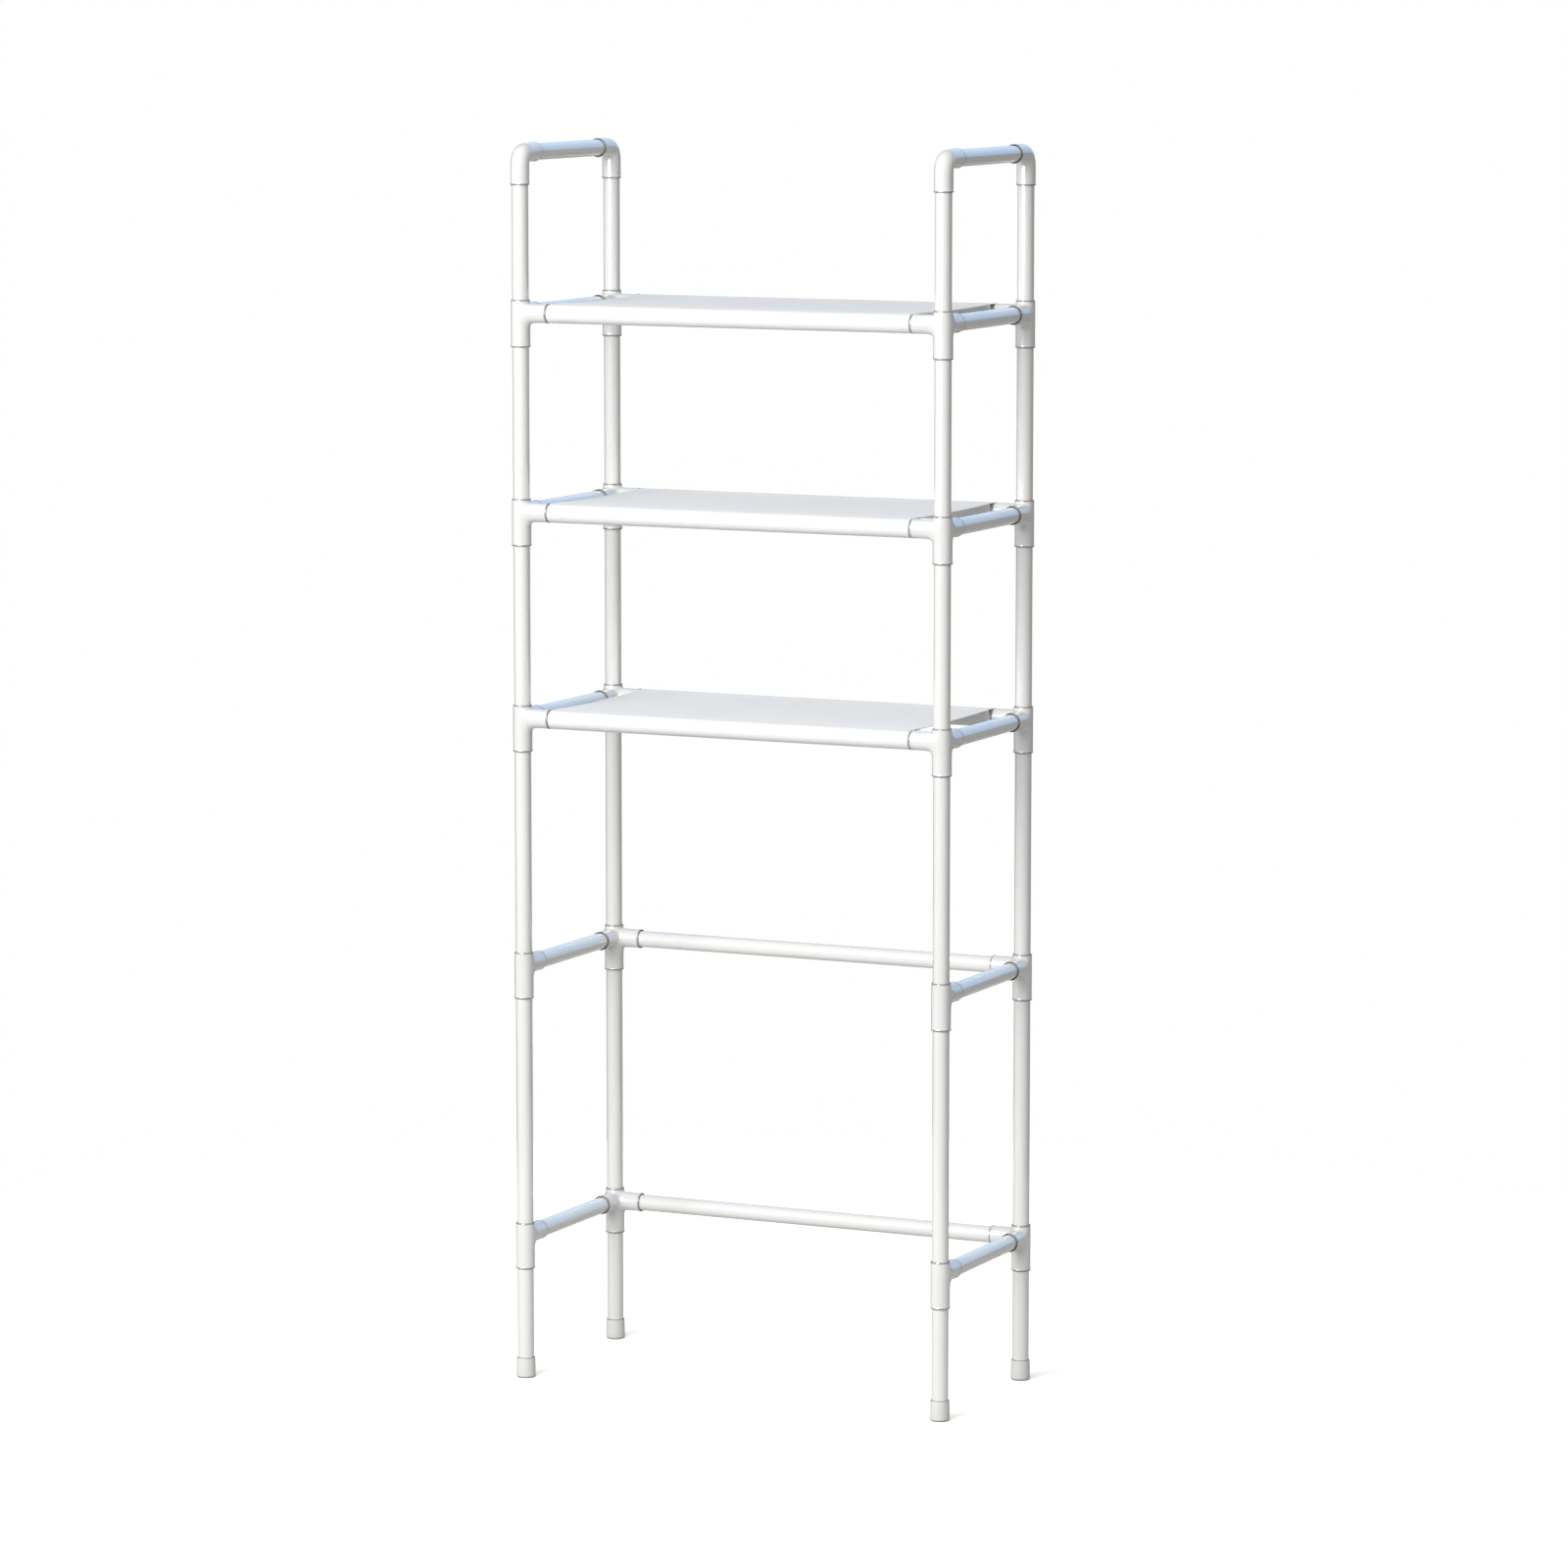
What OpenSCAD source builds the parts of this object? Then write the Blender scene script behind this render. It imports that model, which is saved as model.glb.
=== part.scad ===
// Over the toilet storage rack: push-fit plastic tube, moulded fittings and three fabric shelves.
// Millimetres. +Z is up, the front is at -Y, and the origin is on the floor at the rack's centre.

/* [Frame] */
// Distance between the left and right posts, centre to centre
post_span_x = 590; // [500:5:700]
// Distance between the front and back posts, centre to centre
post_span_y = 260; // [220:5:340]

/* [Heights] */
// Centre height of the lower brace
lower_brace_z = 188; // [100:1:300]
// Centre height of the upper brace
upper_brace_z = 544; // [420:1:620]
// Centre height of the bottom shelf's rails
bottom_shelf_z = 866; // [760:1:940]
// Centre height of the middle shelf's rails
middle_shelf_z = 1132; // [1040:1:1200]
// Centre height of the top shelf's rails
top_shelf_z = 1387; // [1300:1:1460]
// Centre height of the two handle bars
handle_z = 1591; // [1560:1:1700]

/* [Tube] */
// Outer diameter of every tube
tube_d = 21.3; // [18:0.1:22]
// Wall thickness of every tube
tube_wall = 1.6; // [1:0.1:2.5]

/* [Fittings] */
// Radial play between a tube and its socket
socket_play = 0.1; // [0.05:0.05:0.3]
// Wall thickness round a vertical socket
socket_wall = 1.65; // [1.2:0.05:2.5]
// Distance from a post's centre to the mouth of a side socket
reach = 41; // [38:1:55]
// Depth of a side socket
socket_depth = 26; // [18:1:26]
// Height of a fitting's body above its side sockets' centre
body_above = 17.2; // [15:0.1:25]
// Height of a fitting's body below its side sockets' centre
body_below = 43.4; // [35:0.1:55]
// Height of the ring that stops both tubes inside a body
stop_ring_h = 2.6; // [2:0.1:5]
// Radius of the fillet under a side socket
fillet_r = 7; // [3:0.5:9]
// Length of the raised lip at a mouth
lip_h = 2.4; // [1:0.1:4]
// How far a lip stands out
lip_t = 0.5; // [0.2:0.1:1]

/* [Foot caps] */
// Height of a foot cap
cap_h = 26.7; // [20:0.1:40]
// Thickness of a foot cap's floor
cap_floor = 3; // [2:0.5:6]
// How much wider a foot cap is at its base, on the radius
cap_flare = 0.4; // [0:0.1:0.5]

/* [Shelf covers] */
// Thickness of a cover, its coated cloth and the slack in its sleeves taken together
cover_t = 1.25; // [0.8:0.05:1.3]
// Gap between a cover's edge and the mouth of the socket beside it
cover_gap = 1; // [0.5:0.5:5]

/* [Hidden] */
SIDES = ["left", "right"];
ENDS = ["front", "back"];
SHELVES = ["top_shelf", "middle_shelf", "bottom_shelf"];
BRACES = ["upper_brace", "lower_brace"];
LEVELS = concat(SHELVES, BRACES);
TIERS = ["handle", "top_shelf", "middle_shelf", "bottom_shelf", "upper_brace", "lower_brace"];

$fn = 48;
cut = 1;

tube_r = tube_d / 2;
tube_bore_r = tube_r - tube_wall;
socket_r = tube_r + socket_play;
body_r = socket_r + socket_wall;
// A side socket is a little slimmer than the body that it grows from
branch_r = body_r - 0.3;
branch_start = 2;
bevel = 0.7;
post_socket_depth = (body_above + body_below - stop_ring_h) / 2;
bend_r = reach - socket_depth;
web_t = 11;
cover_r = socket_r + 0.1 + cover_t;
cover_l = post_span_x - 2 * (reach + cover_gap);

white = [0.93, 0.93, 0.91];
cap_white = [0.88, 0.88, 0.86];
cloth_white = [0.86, 0.87, 0.88];

function side_sign(s) = s == "left" ? -1 : 1;
function end_sign(e) = e == "front" ? -1 : 1;
// Angle about Z that turns +X inwards along the rack's width, or along its depth
function inward_x(s) = s == "left" ? 0 : 180;
function inward_y(e) = e == "front" ? 90 : -90;

function level_z(l) =
    l == "handle" ? handle_z :
    l == "top_shelf" ? top_shelf_z :
    l == "middle_shelf" ? middle_shelf_z :
    l == "bottom_shelf" ? bottom_shelf_z :
    l == "upper_brace" ? upper_brace_z : lower_brace_z;

// The post tube below tier i stands on the stop ring of the fitting under it, or in the foot cap
function stop_top(l) = level_z(l) + body_above - post_socket_depth;
function stop_bottom(l) = level_z(l) - body_below + post_socket_depth;
function tube_bottom(i) = i == len(TIERS) - 1 ? cap_floor : stop_top(TIERS[i + 1]);
function tube_top(i) = i == 0 ? handle_z - bend_r : stop_bottom(TIERS[i]);

module at_post(e, s, z = 0) {
    translate([side_sign(s) * post_span_x / 2, end_sign(e) * post_span_y / 2, z])
        children();
}

// ---- shared shapes ----

// A tube along +Z with open ends
module tube(length) {
    difference() {
        cylinder(r = tube_r, h = length);
        translate([0, 0, -cut])
            cylinder(r = tube_bore_r, h = length + 2 * cut);
    }
}

// The solid outside of a socket, from z = start to a bevelled lip at z = end
module socket_shell(r, start, end) {
    lip_r = r + lip_t;
    rotate_extrude()
        polygon([
            [0, start],
            [r, start],
            [r, end - lip_h],
            [lip_r, end - lip_h + lip_t],
            [lip_r, end - bevel],
            [lip_r - bevel, end],
            [0, end]
        ]);
}

// The fillet under a side socket, which points along +X
module fillet_web() {
    sink = 0.4;
    inner = 6;
    cx = body_r + fillet_r - sink;
    cz = -branch_r - fillet_r + sink;
    arc = [for (a = [90:15:180]) [cx + fillet_r * cos(a), cz + fillet_r * sin(a)]];
    rotate([90, 0, 0])
        linear_extrude(height = web_t, center = true)
            polygon(concat([[inner, cz], [inner, -inner], [cx, -inner]], arc));
}

// The outside of a side socket along +X, with its fillet
module branch_shell() {
    rotate([0, 90, 0])
        socket_shell(branch_r, branch_start, reach);
    fillet_web();
}

module branch_bore() {
    rotate([0, 90, 0])
        translate([0, 0, reach - socket_depth])
            cylinder(r = socket_r, h = socket_depth + cut);
}

// The fitting's upright body: a bevelled rim at the top and a lip at the bottom
module body_shell() {
    rim = 1.1;
    lip_r = body_r + lip_t;
    bottom = -body_below;
    rotate_extrude()
        polygon([
            [0, bottom],
            [lip_r - bevel, bottom],
            [lip_r, bottom + bevel],
            [lip_r, bottom + lip_h - lip_t],
            [body_r, bottom + lip_h],
            [body_r, body_above - rim],
            [body_r - rim, body_above],
            [0, body_above]
        ]);
}

// Two sockets that meet at a stop ring
module body_bore() {
    translate([0, 0, -body_below - cut])
        cylinder(r = socket_r, h = post_socket_depth + cut);
    translate([0, 0, body_above - post_socket_depth])
        cylinder(r = socket_r, h = post_socket_depth + cut);
    translate([0, 0, -body_below])
        cylinder(r = tube_bore_r, h = body_below + body_above);
}

// A post fitting with one side socket at each of the given angles about Z
module post_fitting(angles) {
    color(white)
        difference() {
            union() {
                body_shell();
                for (a = angles)
                    rotate([0, 0, a])
                        branch_shell();
            }
            body_bore();
            for (a = angles)
                rotate([0, 0, a])
                    branch_bore();
        }
}

// ---- sub-parts ----

// A swept 90 degree bend with a socket along +X and a socket along -Z
module elbow() {
    color(white)
        difference() {
            union() {
                translate([bend_r, 0, -bend_r])
                    rotate([90, 0, 0])
                        rotate_extrude(angle = 90, start = 90)
                            translate([bend_r, 0])
                                circle(r = branch_r);
                rotate([0, 90, 0])
                    socket_shell(branch_r, bend_r, reach);
                rotate([180, 0, 0])
                    socket_shell(branch_r, bend_r, reach);
            }
            branch_bore();
            rotate([0, 90, 0])
                branch_bore();
            translate([bend_r, 0, -bend_r])
                rotate([90, 0, 0])
                    rotate_extrude(angle = 90, start = 90)
                        translate([bend_r, 0])
                            circle(r = tube_bore_r);
        }
}

// A push-on cap that flares a little towards a bevelled base
module foot_cap() {
    top_r = socket_r + 1.5;
    base_r = top_r + cap_flare;
    rim = 1;
    base_bevel = 1.4;
    color(cap_white)
        rotate_extrude()
            polygon([
                [0, 0],
                [base_r - base_bevel, 0],
                [base_r, base_bevel],
                [top_r, cap_h - rim],
                [top_r - rim, cap_h],
                [socket_r, cap_h],
                [socket_r, cap_floor],
                [0, cap_floor]
            ]);
}

// The left and right post tubes between two tiers, at the front or the back
module post_tubes(e, i) {
    color(white)
        for (s = SIDES)
            at_post(e, s, tube_bottom(i))
                tube(tube_top(i) - tube_bottom(i));
}

// A front-to-back tube between two side sockets
module side_tube(s, z) {
    length = post_span_y - 2 * bend_r;
    color(white)
        translate([side_sign(s) * post_span_x / 2, length / 2, z])
            rotate([90, 0, 0])
                tube(length);
}

// A left-to-right tube between two side sockets
module cross_tube(e, z) {
    length = post_span_x - 2 * bend_r;
    color(white)
        translate([-length / 2, end_sign(e) * post_span_y / 2, z])
            rotate([0, 90, 0])
                tube(length);
}

// A cloth cover: a flat top that runs into a sleeve round the front rail and one round the back rail
module shelf_cover(z) {
    half = post_span_y / 2;
    fold = 9;
    front_arc = [for (a = [90:fold:360]) [-half + cover_r * cos(a), cover_r * sin(a)]];
    back_arc = [for (a = [180:fold:450]) [half + cover_r * cos(a), cover_r * sin(a)]];
    under_z = cover_r - cover_t;
    under_y = half - sqrt(cover_r * cover_r - under_z * under_z);
    color(cloth_white)
        translate([-cover_l / 2, 0, z])
            rotate([90, 0, 90])
                linear_extrude(height = cover_l)
                    difference() {
                        polygon(concat(
                            front_arc,
                            [for (a = [fold:fold:60]) [-half + cover_r * cos(a), cover_r * sin(a)]],
                            [[-under_y, under_z], [under_y, under_z]],
                            [for (a = [126:fold:171]) [half + cover_r * cos(a), cover_r * sin(a)]],
                            back_arc
                        ));
                        for (y = [-half, half])
                            translate([y, 0])
                                circle(r = cover_r - cover_t);
                    }
}

// ---- assembly ----

for (e = ENDS, s = SIDES)
    at_post(e, s, handle_z) rotate([0, 0, inward_y(e)]) elbow();

for (l = SHELVES, e = ENDS, s = SIDES)
    at_post(e, s, level_z(l)) post_fitting([inward_x(s), inward_y(e)]);

for (l = BRACES, s = SIDES)
    at_post("front", s, level_z(l)) post_fitting([inward_y("front")]);

for (l = BRACES, s = SIDES)
    at_post("back", s, level_z(l)) post_fitting([inward_x(s), inward_y("back")]);

for (e = ENDS, s = SIDES)
    at_post(e, s) foot_cap();

for (i = [0:len(TIERS) - 1], e = ENDS)
    post_tubes(e, i);

for (s = SIDES)
    side_tube(s, handle_z);

for (l = LEVELS)
    for (s = SIDES) side_tube(s, level_z(l));

for (l = SHELVES)
    cross_tube("front", level_z(l));

for (l = LEVELS)
    cross_tube("back", level_z(l));

for (l = SHELVES)
    shelf_cover(level_z(l));
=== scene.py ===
# %% [markdown]
# # A storage rack that stands over a toilet
#
# The rack is a push-fit kit: lengths of glossy white plastic tube, moulded fittings that the tubes push
# into, four foot caps and three cloth shelves. The design already exists as a CAD frame, so this script
# never decides where a piece goes. It reads the places and sizes from the frame and gives every piece the
# shape and the finish that the plain CAD solids lack.

# %% Load the frame
import math

import bmesh
import bpy
import numpy as np
from mathutils import Matrix, Vector


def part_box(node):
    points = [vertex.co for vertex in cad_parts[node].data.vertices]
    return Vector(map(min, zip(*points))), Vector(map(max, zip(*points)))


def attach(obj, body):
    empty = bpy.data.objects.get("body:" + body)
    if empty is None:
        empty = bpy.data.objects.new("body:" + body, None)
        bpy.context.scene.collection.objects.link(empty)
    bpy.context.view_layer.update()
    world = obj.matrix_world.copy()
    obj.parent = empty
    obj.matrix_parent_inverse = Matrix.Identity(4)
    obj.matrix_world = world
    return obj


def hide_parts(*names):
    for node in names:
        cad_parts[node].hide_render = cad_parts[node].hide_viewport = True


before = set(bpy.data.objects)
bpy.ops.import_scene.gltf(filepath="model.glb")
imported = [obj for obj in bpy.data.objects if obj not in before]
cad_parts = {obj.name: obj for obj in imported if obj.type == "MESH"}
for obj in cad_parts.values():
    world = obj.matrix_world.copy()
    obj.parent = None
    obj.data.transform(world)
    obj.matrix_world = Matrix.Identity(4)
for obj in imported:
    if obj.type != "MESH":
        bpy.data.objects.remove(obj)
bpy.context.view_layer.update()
MM = 0.001
print(f"the frame has {len(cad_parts)} nodes")

# %% [markdown]
# ## Reading the rack's sizes from the frame
#
# A rack like this is regular: four posts, three shelf levels, two braces, and one handle bar on each
# side. A few boxes of the frame's nodes give everything else: the feet say where the posts are, the back
# rails say how high each level is, and one tee says how big a fitting is.

# %% Names of the levels and corners
SHELVES = ["top_shelf", "middle_shelf", "bottom_shelf"]
BRACES = ["upper_brace", "lower_brace"]
LEVELS = SHELVES + BRACES
TIERS = ["handle"] + LEVELS
SIDES = {"left": -1, "right": 1}
ENDS = {"front": -1, "back": 1}


def middle(node):
    """The centre of a CAD node's box."""
    low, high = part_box(node)
    return (low + high) / 2


def size(node):
    """The width, depth and height of a CAD node's box."""
    low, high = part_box(node)
    return high - low


posts = {(end, side): middle(f"foot_cap_{end}_{side}").to_2d() for end in ENDS for side in SIDES}
level_z = {level: middle(f"{level}_back_rail").z for level in LEVELS}
level_z["handle"] = middle("handle_bar_left").z
print("posts", {corner: tuple(round(c, 3) for c in place) for corner, place in posts.items()})
print("levels", {tier: round(z, 3) for tier, z in level_z.items()})

# %% Sizes of the tube and the fittings
tube_r = size("handle_bar_left").x / 2
tube_wall = 1.6 * MM
socket_r = tube_r + 0.1 * MM
lip_out = 0.5 * MM
tee_low, tee_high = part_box("lower_brace_tee_front_left")
body_r = (tee_high.x - tee_low.x) / 2 - lip_out
branch_r = body_r - 0.3 * MM
reach = tee_high.y - posts["front", "left"].y
body_above = tee_high.z - level_z["lower_brace"]
body_below = level_z["lower_brace"] - tee_low.z
bend_r = (posts["back", "left"].y - posts["front", "left"].y - size("handle_bar_left").y) / 2
cap_h = size("foot_cap_front_left").z
cap_r = size("foot_cap_front_left").x / 2
print(f"tube {2 * tube_r / MM:.1f} mm, fitting {2 * body_r / MM:.1f} mm, reach {reach / MM:.1f} mm")

# %% [markdown]
# ## The camera, the floor and the light
#
# The rack is tall and thin, so a long lens from far away keeps its posts nearly parallel. The camera
# stands a little to the right of the front and above the top shelf, and looks slightly down.

# %% Camera
AIM = Vector((0.013, 0.006, 0.781))
AZIMUTH = math.radians(25.17)
ELEVATION = math.radians(7.48)
DISTANCE = 8.279
LENS = 147.5


def from_aim(azimuth, elevation, distance):
    """A place at this distance from the aim; azimuth 0 is in front of the rack."""
    flat = math.cos(elevation)
    away = Vector((math.sin(azimuth) * flat, -math.cos(azimuth) * flat, math.sin(elevation)))
    return AIM + away * distance


def look_at_aim(thing):
    """Turns a camera or a light so that it faces the aim."""
    thing.rotation_euler = (AIM - thing.location).to_track_quat("-Z", "Y").to_euler()


camera = bpy.data.objects.new("camera", bpy.data.cameras.new("camera"))
bpy.context.scene.collection.objects.link(camera)
camera.location = from_aim(AZIMUTH, ELEVATION, DISTANCE)
camera.data.lens = LENS
look_at_aim(camera)
bpy.context.scene.camera = camera
print("camera at", tuple(round(c, 2) for c in camera.location))

# %% [markdown]
# A white rack on a white ground has to be drawn by its reflections. So most of the light comes from one
# broad lamp, high in front and a little to the left, and the room is not even. It is dim on the side away
# from that lamp, which draws the far edges of the upright tubes, and pale blue where a window would be,
# high behind the rack, which lands on the upper side of every level tube. Two weaker lamps, behind and to
# the right, lift the sides that the first one misses. Reflections don't show them, so the dim edges stay.
# The camera itself sees plain white, and a floor that is brighter to it than to the rack, or its glow
# would fill the dim edges too.

# %% Helpers for shader and geometry trees


def put(tree, kind, inputs=None, **settings):
    """Adds a node; inputs maps a socket's name or number to a value or to another node's output."""
    node = tree.nodes.new(kind)
    for key, value in settings.items():
        setattr(node, key, value)
    for key, value in (inputs or {}).items():
        if isinstance(value, bpy.types.NodeSocket):
            tree.links.new(value, node.inputs[key])
        else:
            node.inputs[key].default_value = value
    return node


def maths(tree, operation, *values):
    """One step of arithmetic on numbers or links."""
    return put(tree, "ShaderNodeMath", dict(enumerate(values)), operation=operation).outputs[0]


def remap(tree, value, start, end, low=0.0, high=1.0):
    """Turns a value from start to end into a number from low to high, and stops at both."""
    return put(tree, "ShaderNodeMapRange", {0: value, 1: start, 2: end, 3: low, 4: high}).outputs[0]


def between(tree, factor, low, high):
    """Turns a factor from 0 to 1 into a number from low to high."""
    return remap(tree, factor, 0.0, 1.0, low, high)


def blend_colours(tree, factor, first, second):
    """Mixes two colours; either may be a link."""
    inputs = {0: factor, 6: first, 7: second}
    return put(tree, "ShaderNodeMix", inputs, data_type="RGBA").outputs[2]


def ramp(tree, factor, stops):
    """A colour ramp through (position, colour) stops; a single number is a grey."""
    node = put(tree, "ShaderNodeValToRGB", {0: factor})
    while len(node.color_ramp.elements) < len(stops):
        node.color_ramp.elements.new(0.5)
    for element, (position, colour) in zip(node.color_ramp.elements, stops):
        element.position = position
        rgb = (colour,) * 3 if isinstance(colour, (int, float)) else colour
        element.color = (*rgb, 1)
    return node.outputs[0]


# %% The room's tints, each a ramp from straight down (0) through the horizon (0.5) to straight up (1)
CEILING = (0.42, 0.41, 0.39)
FRONT_TINTS = [(0.3, 0.2), (0.48, 0.24), (0.56, 0.34), (0.75, 0.38), (1.0, CEILING)]
BACK_TINTS = [
    (0.3, (0.16, 0.155, 0.15)), (0.44, 0.03), (0.54, 0.03), (0.64, (0.2, 0.21, 0.23)), (1.0, CEILING),
]
WINDOW_TINTS = [
    (0.44, (0.3, 0.29, 0.28)), (0.5, 0.2), (0.56, (0.5, 0.78, 1.2)), (0.74, (0.7, 1.05, 1.55)),
    (0.84, (0.5, 0.53, 0.56)),
]
# A level direction, straight back and a little to the right
AWAY_FROM_KEY = (0.26, 0.97, 0.0)

# %% The room
world = bpy.data.worlds.new("studio")
bpy.context.scene.world = world
world.use_nodes = True
room = world.node_tree
room.nodes.clear()
direction = put(room, "ShaderNodeTexCoord").outputs["Generated"]
parts = put(room, "ShaderNodeSeparateXYZ", {0: direction})
height = remap(room, parts.outputs["Z"], -1.0, 1.0)
away = put(room, "ShaderNodeVectorMath", {0: direction, 1: AWAY_FROM_KEY}, operation="DOT_PRODUCT")
behind = remap(room, away.outputs["Value"], -0.45, 0.1)
walls = blend_colours(room, behind, ramp(room, height, FRONT_TINTS), ramp(room, height, BACK_TINTS))
in_window = remap(room, parts.outputs["Y"], 0.68, 0.86)
tint = blend_colours(room, in_window, walls, ramp(room, height, WINDOW_TINTS))
lit = put(room, "ShaderNodeBackground", {0: tint, 1: 1.0})
seen = put(room, "ShaderNodeBackground", {0: (1, 1, 1, 1), 1: 1.0})
is_seen = put(room, "ShaderNodeLightPath").outputs["Is Camera Ray"]
both = put(room, "ShaderNodeMixShader", {0: is_seen, 1: lit.outputs[0], 2: seen.outputs[0]})
put(room, "ShaderNodeOutputWorld", {0: both.outputs[0]})
bpy.context.scene.view_settings.view_transform = "Standard"
print("room made")

# %% Lamps
LAMP_DISTANCE = 4.5
FILL_TINT = (1.0, 0.94, 0.86)


def soft_light(name, azimuth, elevation, width, watts):
    """A square area light that faces the rack."""
    lamp = bpy.data.objects.new(name, bpy.data.lights.new(name, "AREA"))
    bpy.context.scene.collection.objects.link(lamp)
    lamp.location = from_aim(math.radians(azimuth), math.radians(elevation), LAMP_DISTANCE)
    lamp.data.size = width
    lamp.data.energy = watts
    look_at_aim(lamp)
    return lamp


soft_light("key_light", azimuth=-8, elevation=25, width=3.2, watts=252)
for name, azimuth, watts in (("back_light", 205, 100), ("side_light", 98, 26)):
    fill = soft_light(name, azimuth, elevation=6, width=2.2, watts=watts)
    fill.visible_glossy = False
    fill.data.color = FILL_TINT
print("three lamps")

# %% The floor's paint
floor_look = bpy.data.materials.new("pale_floor")
floor_look.use_nodes = True
floor_tree = floor_look.node_tree
floor_tree.nodes.clear()
paint = put(floor_tree, "ShaderNodeBsdfDiffuse", {0: (0.96, 0.93, 0.9, 1)})
glow = put(floor_tree, "ShaderNodeEmission", {0: (1, 1, 1, 1), 1: 0.3})
bright = put(floor_tree, "ShaderNodeAddShader", {0: paint.outputs[0], 1: glow.outputs[0]})
dull = put(floor_tree, "ShaderNodeBsdfDiffuse", {0: (0.48, 0.47, 0.46, 1)})
to_camera = put(floor_tree, "ShaderNodeLightPath").outputs["Is Camera Ray"]
floor_mix = put(
    floor_tree, "ShaderNodeMixShader",
    {0: to_camera, 1: dull.outputs[0], 2: bright.outputs[0]},
)
put(floor_tree, "ShaderNodeOutputMaterial", {0: floor_mix.outputs[0]})
print("floor paint")

# %% Floor
FLOOR_R = 1.7
floor_mesh = bpy.data.meshes.new("floor")
shape = bmesh.new()
bmesh.ops.create_circle(shape, cap_ends=True, segments=96, radius=FLOOR_R)
shape.to_mesh(floor_mesh)
shape.free()
floor = bpy.data.objects.new("floor", floor_mesh)
bpy.context.scene.collection.objects.link(floor)
floor_mesh.materials.append(floor_look)
print("floor", 2 * FLOOR_R, "m across")

# %% [markdown]
# ## Finishes
#
# Everything here is white, so a finish is told by its gloss and its grain. Extruded tube carries faint
# lines along its length, drawn by the die. A moulded fitting has a fine orange-peel skin, a parting line
# where the two halves of the mould met, and a dark band where a tube enters, partly dirt and partly
# painted shade. The foot caps are a softer plastic that scuffs, darkened at the base and the rim by dirt
# and painted shade. The cloth is a plain weave under a thin coat.

# %% Shared parts of the materials


def new_material(name, colour, roughness):
    """A material with a Principled shader; returns the material, its tree and the shader."""
    material = bpy.data.materials.new(name)
    material.use_nodes = True
    material.diffuse_color = (*colour, 1)
    tree = material.node_tree
    shader = tree.nodes["Principled BSDF"]
    shader.inputs["Base Color"].default_value = (*colour, 1)
    shader.inputs["Roughness"].default_value = roughness
    return material, tree, shader


# Above plastic's own 1.5, for reflections as strong as a polished mould leaves
GLOSS_IOR = 2.0


def add_gloss(shader, weight, roughness):
    """A clear glossy skin over the base, as on plastic that left a polished die."""
    shader.inputs["Coat Weight"].default_value = weight
    shader.inputs["Coat Roughness"].default_value = roughness
    shader.inputs["Coat IOR"].default_value = GLOSS_IOR


def object_place(tree, scale=(1, 1, 1)):
    """The point on the object in metres, stretched by scale."""
    place = put(tree, "ShaderNodeTexCoord").outputs["Object"]
    return put(tree, "ShaderNodeMapping", {0: place, 3: scale}).outputs[0]


def grain(tree, place, scale, detail=2.0, roughness=0.5):
    """Soft noise from 0 to 1."""
    inputs = {"Vector": place, "Scale": scale, "Detail": detail, "Roughness": roughness}
    return put(tree, "ShaderNodeTexNoise", inputs).outputs[0]


def bumps(tree, shader, layers):
    """Stacks bump layers, each a (height, distance in metres) pair."""
    normal = None
    for height, distance in layers:
        inputs = {"Height": height, "Distance": distance, "Strength": 1.0}
        if normal is not None:
            inputs["Normal"] = normal
        normal = put(tree, "ShaderNodeBump", inputs).outputs[0]
    tree.links.new(normal, shader.inputs["Normal"])


# %% Tube: extruded gloss plastic
TUBE_WHITE = (0.83, 0.83, 0.815)
TUBE_SHADE = (0.78, 0.78, 0.76)


def tube_plastic(name, along):
    """Gloss white plastic with die lines along one axis: 0, 1 or 2."""
    material, tree, shader = new_material(name, TUBE_WHITE, 0.2)
    add_gloss(shader, 1.0, 0.07)
    stretch = [1.0, 1.0, 1.0]
    stretch[along] = 0.006
    lines = grain(tree, object_place(tree, tuple(stretch)), 1500, 3)
    wide_lines = grain(tree, object_place(tree, tuple(stretch)), 260, 2)
    place = object_place(tree)
    cloud = grain(tree, place, 9, 4)
    waves = grain(tree, place, 55, 1)
    scuffs = remap(tree, grain(tree, place, 420, 6, 0.7), 0.62, 0.75)
    tone = blend_colours(tree, cloud, (*TUBE_SHADE, 1), (*TUBE_WHITE, 1))
    lined = blend_colours(tree, between(tree, wide_lines, 0.0, 0.35), tone, (*TUBE_SHADE, 1))
    tree.links.new(lined, shader.inputs["Base Color"])
    worn = maths(tree, "MULTIPLY_ADD", scuffs, 0.18, between(tree, cloud, 0.16, 0.27))
    tree.links.new(worn, shader.inputs["Roughness"])
    bumps(tree, shader, [(waves, 0.00012), (wide_lines, 0.00003), (lines, 0.000006)])
    return material


tube_looks = {
    "across": tube_plastic("tube_across", 0),
    "deep": tube_plastic("tube_front_to_back", 1),
    "upright": tube_plastic("tube_upright", 2),
}
print("three tube finishes")

# %% Fitting: moulded gloss plastic
MOULD_WHITE = (0.80, 0.80, 0.79)
MOULD_SHADE = (0.75, 0.75, 0.735)
# The dark colour painted at the mouths and at the foot caps' base and rim: partly grime, partly painted
# shade
GRIME_AND_SHADE = (0.10, 0.098, 0.095)


def attribute(tree, name):
    """A number that a mesh stores at its points."""
    return put(tree, "ShaderNodeAttribute", attribute_name=name).outputs["Fac"]


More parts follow.
